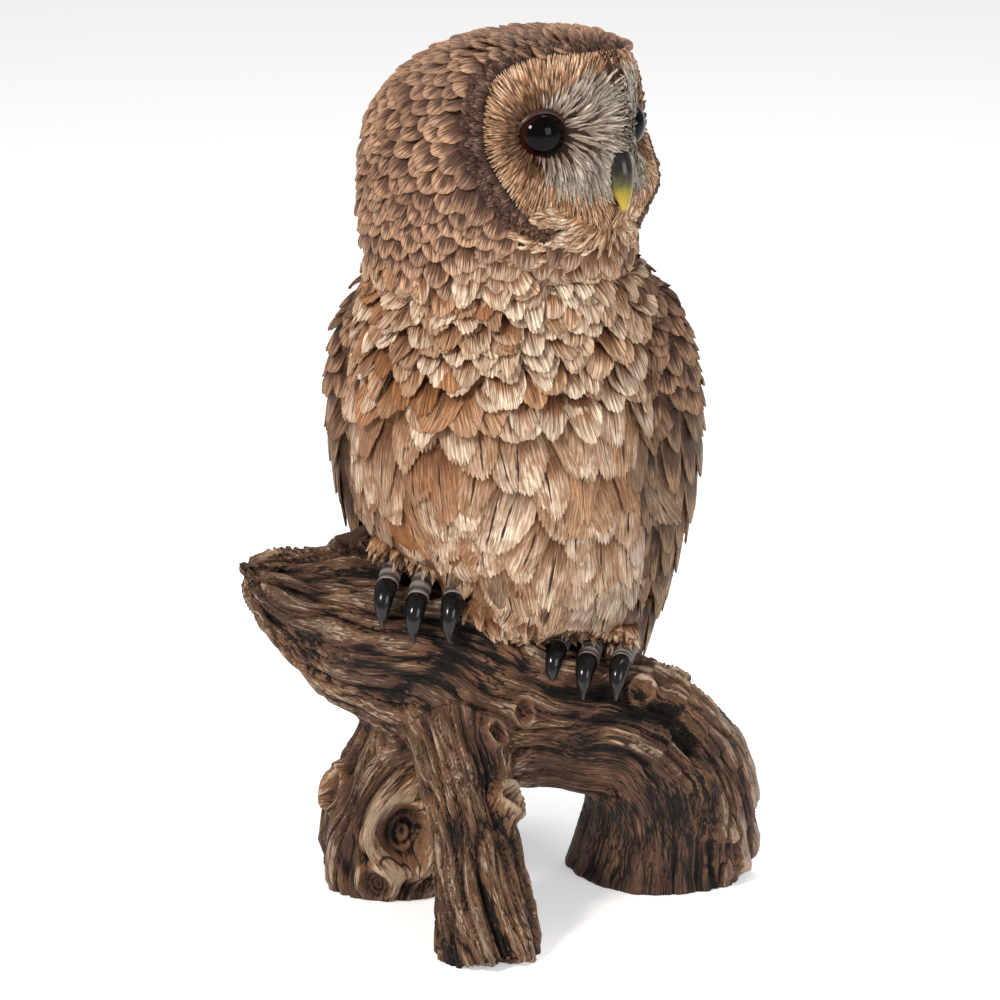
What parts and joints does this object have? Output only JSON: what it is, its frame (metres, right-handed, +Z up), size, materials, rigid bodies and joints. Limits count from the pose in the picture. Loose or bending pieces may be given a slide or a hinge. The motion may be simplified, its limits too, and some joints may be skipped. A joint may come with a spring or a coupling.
{
  "type": "tawny owl garden statue",
  "caption": "Painted cast-resin tawny owl, life-size and still, perched with its head turned on a cast driftwood stump with an arch.",
  "frame": {"origin": "middle of the outer box at the floor that the stump's feet stand on", "axes": "+Z up; the owl's body faces -Y; +X towards the owl's left, which its head is turned towards"},
  "size_m": [0.2201, 0.1996, 0.3783],
  "materials": {
    "head_feathers": "matte painted feather relief, brown with pale grey bristles round the eyes",
    "body_feathers": "matte painted feather relief, cream and tan with dark brown streaks",
    "wing_feathers": "matte painted feather relief, brown with pale edges",
    "tail_feathers": "matte painted feather relief, dark brown",
    "toe_skin": "satin grey ringed skin",
    "talon": "gloss black paint",
    "bill": "gloss paint, slate at the root to yellow at the tip",
    "eye": "polished dark inset eye",
    "driftwood": "matte brown paint over cast wood grain"
  },
  "bodies": {
    "root": {"head": "head_feathers", "eye_left": "eye", "eye_right": "eye", "bill_upper": "bill", "bill_lower": "bill", "neck": "body_feathers", "trunk": "body_feathers", "leg_right": "body_feathers", "leg_left": "body_feathers", "wing_left": "wing_feathers", "wing_right": "wing_feathers", "tail": "tail_feathers", "claw_right_1": "talon", "claw_right_2": "talon", "claw_right_3": "talon", "foot_right": "toe_skin", "claw_left_1": "talon", "claw_left_2": "talon", "claw_left_3": "talon", "foot_left": "toe_skin", "log_perch": "driftwood", "log_arch": "driftwood", "log_limb": "driftwood", "log_leg_rear": "driftwood", "log_leg_front": "driftwood"}
  },
  "joints": []
}
